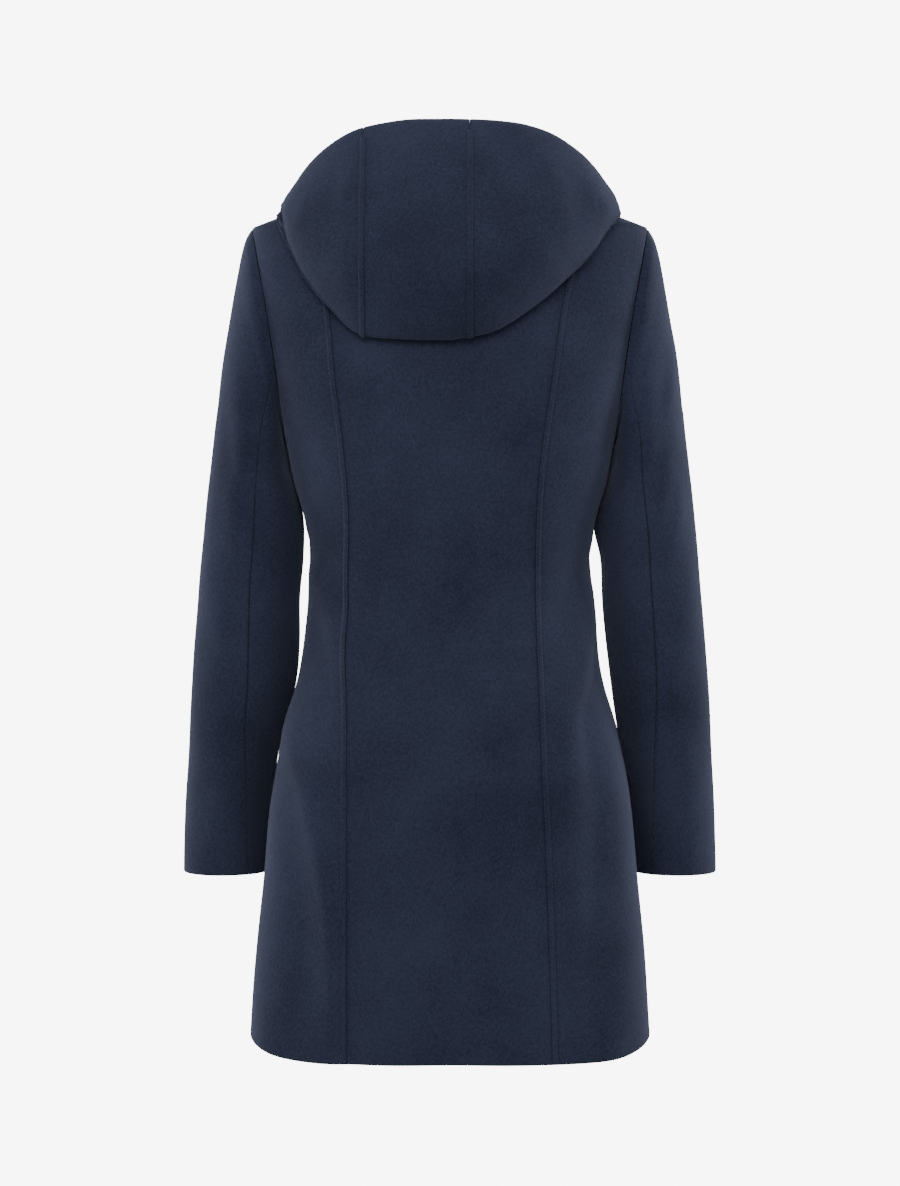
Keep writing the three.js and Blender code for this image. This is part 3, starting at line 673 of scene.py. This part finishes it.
SLEEVE_CREASES = {
    "left": [
        "x z to_x to_z width high facing",
        (224, -286, 214, -350, 7, 1.9, 1),
        (214, -176, 204, -262, 9, 1.7, 1),
        (228, -205, 222, -300, 8, -1.5, 1),
        (196, -210, 206, -330, 9, -1.8, 1),
        (240, -380, 226, -470, 12, 1.5, 1),
        (214, -400, 236, -520, 13, -1.6, 1),
        (222, -560, 240, -660, 14, 1.2, 1),
        (206, -330, 190, -400, 8, 1.4, 1),
        (226, -190, 214, -300, 9, 1.7, -1),
        (208, -230, 200, -330, 9, -1.7, -1),
        (244, -330, 214, -400, 10, -2.0, -1),
        (246, -372, 208, -430, 10, 1.9, -1),
        (240, -420, 212, -470, 12, -1.5, -1),
        (236, -540, 226, -660, 14, 1.3, -1),
    ],
    "right": [
        "x z to_x to_z width high facing",
        (-221, -148, -198, -262, 6, 2.0, 1),
        (-216, -262, -205, -328, 6, 1.7, 1),
        (-226, -284, -218, -350, 6, 1.8, 1),
        (-208, -190, -196, -290, 7, -1.8, 1),
        (-232, -210, -224, -310, 9, -1.4, 1),
        (-238, -380, -222, -480, 12, 1.5, 1),
        (-208, -390, -230, -520, 13, -1.5, 1),
        (-226, -540, -242, -650, 14, 1.2, 1),
        (-224, -180, -212, -290, 8, 1.9, -1),
        (-206, -220, -198, -330, 9, -1.6, -1),
        (-246, -340, -212, -410, 10, -2.1, -1),
        (-244, -390, -206, -440, 10, 1.7, -1),
        (-232, -520, -224, -660, 14, 1.3, -1),
    ],
}


def free_ring(turn, ring, side):
    read = {name: RINGS.at(ring, name) for name in ("out_x", "out_z", "in_z", "depth", "forward")}
    read["in_x"] = RINGS.at(ring, f"in_{side}")
    c, d = np.cos(turn), np.sin(turn)
    x = (read["out_x"] + read["in_x"]) / 2 + (read["out_x"] - read["in_x"]) / 2 * c
    z = (read["out_z"] + read["in_z"]) / 2 + (read["out_z"] - read["in_z"]) / 2 * c
    return np.stack([x, read["depth"] * d - read["forward"], z], -1)


def bare_sleeve(turn, ring, side):
    turn, ring = np.broadcast_arrays(np.asarray(turn, float), np.asarray(ring, float))
    free = free_ring(turn, ring, side)
    c, behind = np.cos(turn), np.sin(turn) >= 0
    z = ARM_Z + (TIP_Z - ARM_Z) * (1 + c) / 2
    back, front, _ = armhole(z)
    ends = (z <= ARM_Z) | (z >= TIP_Z)
    back, front = (np.where(ends, half_width(z), edge) for edge in (back, front))
    on_back, on_front = bare_body(angle_at(back, z, 1), z), bare_body(angle_at(front, z, -1), z)
    seam = np.where(behind[..., None], on_back, on_front)
    seam = seam + np.stack([0.2 + 0.3 * np.maximum(-c, 0), 0 * c, np.where(c > 0, 0.2, -0.2) * c], -1)
    near = np.clip(ring, 0.0, 1.0)[..., None]
    return seam * (1 - near) + free * near


def on_sleeve(turn, ring, side):
    step = 0.02
    point = bare_sleeve(turn, ring, side)
    around = bare_sleeve(turn + step, ring, side) - bare_sleeve(turn - step, ring, side)
    after = np.minimum(ring + step, LAST_RING)
    down = bare_sleeve(turn, after, side) - bare_sleeve(turn, after - step, side)
    normal = unit(np.cross(down, around))
    flip = np.array([1.0 if side == "left" else -1.0, 1.0, 1.0])
    point, normal = point * flip, normal * flip
    rise = creases(point, np.sin(turn) >= 0, SLEEVE_CREASES[side]) + unevenness(point * 1.3, 0.8)
    # The fullness eased into the armhole seam leaves a row of slight dimples round the head.
    head = np.exp(-((ring - 0.55) / 0.55) ** 2) * (0.5 + 0.5 * np.cos(turn)) ** 0.5
    rise += 0.35 * head * np.sin(17 * turn + 1.3 * np.sin(5 * turn))
    rise *= smooth(ring, 0.0, 0.6)
    return point + normal * rise[..., None], normal


ring_rows = LAST_RING * np.linspace(0, 1, 96) ** 1.25
ring_rows = np.concatenate([[0.0, 0.03], ring_rows[1:-1], [LAST_RING - 0.05, LAST_RING - 0.018, LAST_RING]])


def sleeve_half(name, side, columns, start, stop):
    ring = ring_rows[:, None]
    turn = evenly_across(
        lambda fine: bare_sleeve(fine, ring, side), np.radians(start), np.radians(stop), columns, 2 * SEAM
    )
    ring = np.broadcast_to(ring, turn.shape)
    return woven_sheet(name, *on_sleeve(turn, ring, side), outward=-1 if side == "left" else 1)


back_line, front_line = RINGS.at(ring_rows, "back"), RINGS.at(ring_rows, "front")
for side in ("left", "right"):
    top = sleeve_half(f"{side}_top_sleeve_cloth", side, 46, front_line, back_line)
    under = sleeve_half(f"{side}_under_sleeve_cloth", side, 36, back_line, front_line + 360)
    declare(top, f"sleeve_top_{side}")
    declare(under, f"sleeve_under_{side}")

# ---- Hood ----
# A three-piece hood of the same wool lies back over the shoulders: a long middle strip between two
# sides, sewn with lapped bands. Its lower fold hangs free of the back and its rim rolls in at the top.
HOOD = Table(
    "at neck_x neck_z fold_x fold_z mid_x mid_y mid_z top_x top_y top_z rim_x rim_y rim_z raise lift",
    (0, 0, 10, 0, -160, 0, 166, -84, 0, 97, 54, 0, 64, 41.5, 0, 4.5),
    (1, 24, 10, 45, -159, 50, 164, -82, 46, 96, 53, 40, 62, 40, 9, 4.5),
    (2, 44, 10, 86, -153, 96, 150, -74, 90.5, 90, 46, 76, 56, 33.5, 31, 4.5),
    (3, 58, 10, 112, -129, 126, 128, -60, 122, 79, 31, 100, 48, 21.5, 31, 4.5),
    (4, 67, 10, 134, -102, 147, 104, -44, 140, 66, 17, 113, 40, 12.5, 27, 4.5),
    (5, 72, 10, 151, -68, 161, 76, -29, 150.5, 50, 2.5, 120, 30, 5, 20, 3.6),
    (6, 75, 10, 159, -33, 166, 38, -18, 158, 28, -7, 126, 17, 2, 3, 1.6),
    (7, 76, 10, 162, -21.5, 167.5, 1, -14, 156.5, 2, -4, 126, 2, 4, 0, 0.8),
    (8, 75, -2, 150, -28, 153, -38, -16, 146, -33, -7, 120, -24, 2, 0, 1.6),
    (9, 68, -28, 122, -40, 125, -74, -28, 115, -66, -12, 98, -52, -2, 0, 3.6),
    (10, 52, -52, 86, -62, 87, -102, -50, 79, -96, -30, 69, -84, -18, 0, 4.5),
    (11, 27, -69.5, 47, -82, 46, -118, -72, 40, -113, -52, 35, -102, -40, 0, 4.5),
    (12, 3, -75, 5, -88, 4, -117, -82, 3, -116, -73, 3, -112, -64, 0, 4.5),
)
SIDE_STATION, FRONT_STATION = 7, 12
HOOD_FOLD, HOOD_RIM = 3.0, 6.0  # the fold and the rim, counted across from the neck seam
HOOD_CREASES = [
    "x z to_x to_z width high facing",
    (92, 22, 106, -40, 10, 2.6, 1),
    (122, 6, 112, -70, 12, -2.0, 1),
    (-70, 44, -96, -20, 12, 2.0, 1),
    (-112, 14, -128, -50, 12, -2.2, 1),
    (-48, -60, -104, -96, 13, 1.8, 1),
    (96, -80, 118, -110, 11, 1.6, 1),
    (34, 30, 40, -110, 20, -1.4, 1),
    (-20, -110, -70, -128, 12, -1.4, 1),
    (140, -20, 150, -52, 8, 1.5, 1),
    (-142, -14, -154, -46, 8, 1.6, 1),
]


def hood_on_body(raised):
    """Where the hood's neck and fold lie on the body, by each station's angle and height."""
    rows = []
    columns = (HOOD.columns[name] for name in ("at", "neck_x", "neck_z", "fold_x", "fold_z", "raise"))
    for at, neck_x, neck_z, fold_x, fold_z, higher in zip(*columns):
        facing = 1 if at <= SIDE_STATION else -1
        fold_z = fold_z + raised * higher
        fold_x = half_width(fold_z) if at == SIDE_STATION else fold_x
        neck_angle, fold_angle = angle_at(neck_x, neck_z, facing), angle_at(fold_x, fold_z, facing)
        rows.append((at, neck_angle, neck_z, fold_angle, fold_z))
    return Table("at neck_angle neck_z fold_angle fold_z", *rows)


HOOD_ON_BODY = {"left": hood_on_body(0), "right": hood_on_body(1)}


def under_layer(at, share):
    """The hood's lower layer lies on the coat, a little further off it towards the fold."""
    lift = 0.9 + 3.7 * smooth(share, 0, 0.2) + HOOD.at(np.abs(at), "lift") * smooth(share, 0.5, 1)
    read = {}
    for name in ("neck_angle", "neck_z", "fold_angle", "fold_z"):
        left, right = (HOOD_ON_BODY[side].at(np.abs(at), name) for side in ("left", "right"))
        read[name] = np.where(at < 0, right, left)
    angle = read["neck_angle"] + (read["fold_angle"] - read["neck_angle"]) * share
    z = np.minimum(read["neck_z"] + (read["fold_z"] - read["neck_z"]) * share, NECK_Z)
    point, normal = on_body(angle, z)
    return point + normal * np.asarray(lift)[..., None]


def bare_hood(at, across):
    at, across = np.broadcast_arrays(np.asarray(at, float), np.asarray(across, float))
    lower = under_layer(at, np.clip(across / HOOD_FOLD, 0, 1))
    knots = [under_layer(at, np.full_like(at, 0.66)), under_layer(at, np.ones_like(at))]
    for name in ("mid", "top", "rim"):
        knots.append(np.stack([HOOD.at(np.abs(at), f"{name}_{axis}") for axis in "xyz"], -1))
    knots[2][..., 2] += np.where(at < 0, HOOD.at(np.abs(at), "raise") / 2, 0.0)
    slopes = [None]
    for k in (1, 2, 3):
        slope = (knots[k + 1] - knots[k - 1]) / 2
        most = 1.5 * np.minimum(size(knots[k] - knots[k - 1]), size(knots[k + 1] - knots[k]))
        slopes.append(slope * np.minimum(1, most / np.maximum(size(slope), 1e-9)))
    slopes.append(knots[4] - knots[3])
    upper = np.zeros_like(lower)
    for k in (1, 2, 3):
        t = np.clip(across - (HOOD_FOLD - 1) - k, 0.0, 1.0)[..., None]
        curve = (2 * t**3 - 3 * t**2 + 1) * knots[k] + (3 * t**2 - 2 * t**3) * knots[k + 1]
        curve = curve + (t**3 - 2 * t**2 + t) * slopes[k] + (t**3 - t**2) * slopes[k + 1]
        here = across >= HOOD_FOLD - 1 + k
        upper = np.where(here[..., None], curve, upper)
    point = np.where((across <= HOOD_FOLD)[..., None], lower, upper)
    point[..., 0] *= np.where(at < 0, -1.0, 1.0)
    return point


def on_hood(at, across):
    """at runs from the centre front on the right (-12) through the centre back (0) to the left (12)."""
    step = 0.03
    point = bare_hood(at, across)
    ahead = np.minimum(at + step, FRONT_STATION)
    behind = np.maximum(at - step, -FRONT_STATION)
    round_it = bare_hood(ahead, across) - bare_hood(behind, across)
    further, nearer = np.minimum(across + step, HOOD_RIM), np.maximum(across - step, 0.0)
    over = bare_hood(at, further) - bare_hood(at, nearer)
    normal = unit(np.cross(over, round_it))
    rise = creases(point, point[..., 1] > 0, HOOD_CREASES) + unevenness(point * 1.2, 0.9)
    rise *= smooth(across, 3.0, 3.5)
    return point + normal * rise[..., None], normal


# How far the strip's seams lie from the middle, at the neck and at the fold.
STRIP = {"left": (40.0, 84.0), "right": (14.0, 19.0)}


def strip_edge(across, side):
    """The station at which the hood is as far from the middle as the strip's seam, by halving."""
    at_neck, at_fold = STRIP[side]
    x = at_neck + (at_fold - at_neck) * np.clip(across / HOOD_FOLD, 0, 1)
    low, high = np.full_like(across, 1e-6), np.full_like(across, 6.0)
    sign = 1 if side == "left" else -1
    for _ in range(26):
        middle = (low + high) / 2
        inside = np.abs(bare_hood(middle * sign, across)[..., 0]) < x
        low, high = np.where(inside, middle, low), np.where(inside, high, middle)
    return sign * low


fold_rows = np.linspace(2.86, 3.3, 12)
free_rows = np.concatenate([np.linspace(3.34, 5.92, 56), [5.97, HOOD_RIM]])
across_rows = np.concatenate([[0.0, 0.02], np.linspace(0.1, 2.8, 26), fold_rows, free_rows])
strip_left, strip_right = (strip_edge(across_rows, side) for side in ("left", "right"))


def hood_panel(name, columns, start, stop):
    across = across_rows[:, None]
    at = evenly_across(lambda fine: bare_hood(fine, across), start, stop, columns)
    return woven_sheet(name, *on_hood(at, np.broadcast_to(across, at.shape)), outward=-1)


whole_front = np.full_like(across_rows, FRONT_STATION)
hood_centre = hood_panel("hood_middle_cloth", 24, strip_right, strip_left)
hood_left = hood_panel("hood_left_cloth", 74, strip_left, whole_front)
hood_right = hood_panel("hood_right_cloth", 84, -whole_front, strip_right)


def band_on_hood(side, edge):
    across = np.linspace(2.7, 4.86, 190)
    at = np.interp(across, across_rows, edge)
    return raised_band(f"hood_{side}_seam_band", *on_hood(at, across))


hood_bands = [band_on_hood("left", strip_left), band_on_hood("right", strip_right)]
declare(hood_centre, "hood_centre")
declare(hood_left, "hood_side_left", bent=0.9)
declare(hood_right, "hood_side_right", bent=0.9)

# ---- Toggle fasteners ----
# Four fastenings of dark leather, cord and horn: a leather tab on each front is stitched down over the
# ends of a cord. The left cord holds the toggle by its groove, and the right one is looped over it.
FASTENER_Z = (-125.0, -225.0, -325.0, -425.0)
TAB_NEAR, TAB_LONG, TAB_HIGH, TAB_THICK, TAB_LIFT = 58.0, 36.0, 40.0, 1.6, 0.8
CORD_R = 1.7
STAND = 16.0  # how far the toggle's axis is off the cloth
GROOVE = 3.4  # the radius of the toggle's waist, where the cord holds it


def leather(name):
    material, start = blank(name, {"Specular IOR Level": 0.45, "Coat Roughness": 0.35})
    place = start.node("ShaderNodeTexCoord", output="Object")
    pores = start.node(
        "ShaderNodeTexVoronoi", {"feature": "DISTANCE_TO_EDGE"}, {"Vector": place, "Scale": 900.0}
    )
    wear = noise(place, 70.0, 4.0, 0.5)
    color = mixed(step_up(wear, 0.35, 0.7), (0.020, 0.012, 0.008, 1), (0.048, 0.029, 0.018, 1))
    across, along = flat_map(start)
    line = 1 - step_up(abs(across + 0.015), 0.0003, 0.0006)
    stitch = line * step_up(start.maths("FRACT", along / 0.003), 0.2, 0.3)
    color = mixed(stitch * 0.8, color, (0.10, 0.075, 0.05, 1))
    height = step_up(pores, 0.0, 0.12) * 0.5 + wear * 0.4 - line * 0.5
    feed(start, color, wear * 0.25 + 0.38, height, 0.5, 0.0005)
    return material


def braid(name):
    material, start = blank(name, {"Sheen Weight": 0.3, "Specular IOR Level": 0.3})
    around, along = flat_map(start)
    turns, run = around * 2.0, along / 0.0042
    plaits = [start.maths("SINE", slope * 2 * math.pi) * 0.5 + 0.5 for slope in (turns + run, turns - run)]
    height = start.maths("MAXIMUM", *plaits)
    # The grooves between the plaits are darkened and the crowns lightened by their height: painted shade.
    color = mixed(step_up(height, 0.3, 0.95), (0.004, 0.005, 0.009, 1), (0.022, 0.028, 0.045, 1))
    feed(start, color, 0.85 - height * 0.2, height, 0.8, 0.0006)
    return material


def horn(name):
    material, start = blank(
        name, {"Specular IOR Level": 0.5, "Coat Weight": 0.25, "Coat Roughness": 0.12}
    )
    place = start.node("ShaderNodeTexCoord", output="Object")
    drawn = start.node("ShaderNodeMapping", None, {"Vector": place, "Scale": (0.16, 1.0, 1.0)})
    settings = {"Vector": drawn, "Scale": 260.0, "Detail": 5.0, "Distortion": 0.8}
    grain = start.node("ShaderNodeTexNoise", None, settings)
    cloud = noise(drawn, 60.0, 2.0, 0.5)
    dark, amber, pale = (0.018, 0.009, 0.005, 1), (0.085, 0.045, 0.020, 1), (0.26, 0.17, 0.09, 1)
    stops = [(0.25, dark), (0.55, amber), (0.85, pale)]
    color = start.node("ShaderNodeValToRGB", {"stops": stops}, {0: grain * 0.55 + cloud * 0.45})
    feed(start, color, grain * 0.2 + 0.22, grain, 0.25, 0.0004)
    return material


dark_leather = leather("dark grained leather")
braided = braid("braided cord")
polished_horn = horn("polished horn")


def before_front(x, z, lift):
    """A point so far off the fronts, and the way out from them there."""
    return on_body(angle_at(x, z, -1), np.asarray(z, float), lift)


def leather_tab(name, sign, height):
    along = np.concatenate([[0.0, 0.012], np.linspace(0.04, 0.96, 26), [0.985, 1.0]])
    up = np.concatenate([[-1.0, -0.98], np.linspace(-0.93, 0.93, 24), [0.98, 1.0]])
    share, side = np.meshgrid(along, up)
    half = TAB_HIGH / 2 * np.sqrt(1 - 0.88 * share**3)
    x = sign * (TAB_NEAR + TAB_LONG * share)
    # The stitched edge is pulled down and the middle stands a little over the cord's ends.
    crown = 0.7 * (1 - side**4) * np.sin(np.pi * np.clip(share, 0, 1)) ** 0.5
    points, normals = before_front(x, height + side * half, TAB_LIFT + TAB_THICK - 0.4 + crown)
    piece = woven_sheet(name, points, normals, outward=sign, thick=TAB_THICK)
    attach(piece, "root")
    piece.data.materials.append(dark_leather)
    return piece


def cord_tube(name, points):
    """A round cord through given points, closed at both ends."""
    points = np.array(points)
    t = np.linspace(0, len(points) - 1, 150)
    i = np.clip(t.astype(int), 0, len(points) - 2)
    f = (t - i)[:, None]
    p0, p1, p2, p3 = (points[np.clip(i + k, 0, len(points) - 1)] for k in (-1, 0, 1, 2))
    line = 2 * p1 + (p2 - p0) * f + (2 * p0 - 5 * p1 + 4 * p2 - p3) * f**2
    line = (line + (3 * p1 - p0 - 3 * p2 + p3) * f**3) / 2
    along = unit(np.gradient(line, axis=0))
    aside = [np.cross(along[0], [0.0, 0.0, 1.0])]
    for direction in along:
        flat = aside[-1] - direction * np.dot(aside[-1], direction)
        aside.append(flat / np.linalg.norm(flat))
    aside = np.array(aside[1:])
    other = np.cross(along, aside)
    turn = np.linspace(0, 2 * np.pi, 14, endpoint=False)
    out = np.cos(turn)[:, None] * aside[:, None] + np.sin(turn)[:, None] * other[:, None]
    piece = swept(name, line[:, None] + CORD_R * out, turn / (2 * np.pi), length_along(line))
    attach(piece, "root")
    piece.data.materials.append(braided)
    return piece


def there_and_back(out):
    """A cord's route out along its upper run and back along its lower one."""
    return out + [(x, -up, lift) for x, up, lift in out[-2::-1]]


on_cloth = CORD_R + 1.8
tab_edge = TAB_NEAR - 0.5
wrap = GROOVE + 1.5 + CORD_R
around_toggle = [
    (0.0, wrap * math.sin(math.radians(turn)), STAND - wrap * math.cos(math.radians(turn)))
    for turn in (30, 70, 110, 150, 180)
]
# Each point of a cord's upper run: its place along the toggle's line, above it and off the cloth.
LOOP_ROUTE = there_and_back([
    (-tab_edge, 6.6, on_cloth),
    (-40, 6.6, on_cloth),
    (-22, 6.5, 4),
    (-8, 6.4, 6.6),
    (4, 6.4, 7),
    (10.8, 4, 7.1),
    (13, 0, 7.1),
])
HOLD_ROUTE = there_and_back([
    (tab_edge, 3.2, on_cloth),
    (40, 2.6, on_cloth),
    (20, 2.2, on_cloth),
    (9, 2.1, on_cloth),
    (2, 2.1, 5.4),
    *around_toggle,
])


def routed(route, height):
    return [before_front(x, height, lift)[0] + np.array([0.0, 0.0, up]) for x, up, lift in route]


def horn_toggle(name, height):
    """A short rod drawn out at both ends and narrowed, with a waist left for the cord."""
    bpy.ops.object.select_all(action="DESELECT")
    bpy.ops.mesh.primitive_cylinder_add(
        vertices=32, radius=GROOVE * MM, depth=4.2 * MM, rotation=(0, math.pi / 2, 0)
    )
    piece = bpy.context.object
    piece.name = name
    bpy.ops.object.transform_apply(location=False, rotation=True, scale=False)
    # How far each ring goes out from the last, and its radius.
    steps = (
        (0.3, 5.6),
        (0.9, 6.7),
        (1.6, 7.0),
        (6.0, 6.9),
        (6.0, 6.4),
        (5.0, 5.6),
        (3.0, 4.5),
        (1.6, 3.2),
        (0.5, 1.6),
    )
    for sign in (1, -1):
        radius = GROOVE
        bpy.ops.object.mode_set(mode="EDIT")
        bpy.ops.mesh.select_all(action="DESELECT")
        bpy.ops.object.mode_set(mode="OBJECT")
        for face in piece.data.polygons:
            face.select = face.normal.x * sign > 0.9
        bpy.ops.object.mode_set(mode="EDIT")
        for move, wide in steps:
            bpy.ops.mesh.extrude_region_move(TRANSFORM_OT_translate={"value": (sign * move * MM, 0, 0)})
            grow = wide / radius
            bpy.ops.transform.resize(value=(1, grow, grow))
            radius = wide
        bpy.ops.object.mode_set(mode="OBJECT")
    round_it = piece.modifiers.new("round", "SUBSURF")
    round_it.levels = round_it.render_levels = 2
    bpy.ops.object.modifier_apply(modifier="round")
    bpy.ops.object.shade_smooth()
    place, _ = before_front(0.0, height, STAND)
    piece.data.transform(Matrix.Translation(place * MM))
    return piece


for number, height in enumerate(FASTENER_Z, 1):
    for side, sign in (("left", 1), ("right", -1)):
        tab = leather_tab(f"{side}_tab_{number}", sign, height)
        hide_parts(f"tab_{side}_{number}")
        route = HOLD_ROUTE if side == "left" else LOOP_ROUTE
        cord = cord_tube(f"{side}_toggle_cord_{number}", routed(route, height))
        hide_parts(f"cord_{side}_{number}")
    toggle = horn_toggle(f"horn_toggle_{number}", height)
    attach(toggle, "root")
    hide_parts(f"toggle_{number}")
    toggle.data.materials.append(polished_horn)

# ---- Studio ----
# A pale sweep behind and below the coat, a broad soft light on its back and two tall side lights that
# skim the sleeves and the hood, with the camera low and level behind the wearer.
low, high = (Vector(corner) for corner in cad_box)
CAMERA_BACK, CAMERA_Z = 2.7, -0.400

# Paper lit evenly from behind, so that it shows as one pale tone.
paper_shine = {
    "Base Color": (0.02, 0.02, 0.02, 1),
    "Roughness": 0.9,
    "Specular IOR Level": 0.0,
    "Emission Color": (1.0, 1.0, 1.0, 1),
    "Emission Strength": 7.9,
}
paper, _ = blank("pale paper", paper_shine)
floor_z = low.z - 0.62
bpy.ops.mesh.primitive_plane_add(size=16, location=(0, 0, floor_z))
floor = bpy.context.object
floor.name = "floor"
bpy.ops.mesh.primitive_plane_add(size=16, location=(0, -2.6, 0), rotation=(math.radians(90), 0, 0))
backdrop = bpy.context.object
backdrop.name = "backdrop"
for sheet in (floor, backdrop):
    sheet.data.materials.append(paper)
    sheet.visible_diffuse = sheet.visible_glossy = False

world = bpy.context.scene.world or bpy.data.worlds.new("studio")
bpy.context.scene.world = world
world.use_nodes = True
sky = world.node_tree.nodes["Background"]
sky.inputs["Color"].default_value = (0.95, 0.95, 1.0, 1)
sky.inputs["Strength"].default_value = 0.55


def soft_light(name, sides, power, place, target):
    bpy.ops.object.light_add(type="AREA", location=place)
    light = bpy.context.object
    light.name = name
    light.data.shape = "RECTANGLE"
    light.data.size, light.data.size_y = sides
    light.data.energy = power
    light.rotation_euler = (Vector(target) - Vector(place)).to_track_quat("-Z", "Y").to_euler()


middle = Vector((0, 0, (low.z + high.z) / 2))
soft_light("back key", (1.8, 1.2), 34, (0.35, 2.5, 0.95), middle)
soft_light("side left", (0.5, 2.0), 12, (1.7, -0.35, -0.1), middle)
soft_light("side right", (0.5, 2.0), 17, (-1.7, -0.35, 0.1), middle)

facing_coat = (math.radians(90), 0, math.radians(180))
bpy.ops.object.camera_add(location=(0, CAMERA_BACK, CAMERA_Z), rotation=facing_coat)
camera = bpy.context.object
camera.data.sensor_fit = "VERTICAL"
camera.data.sensor_height = 24.0
camera.data.lens = 24.0 * CAMERA_BACK / 1.186
bpy.context.scene.camera = camera
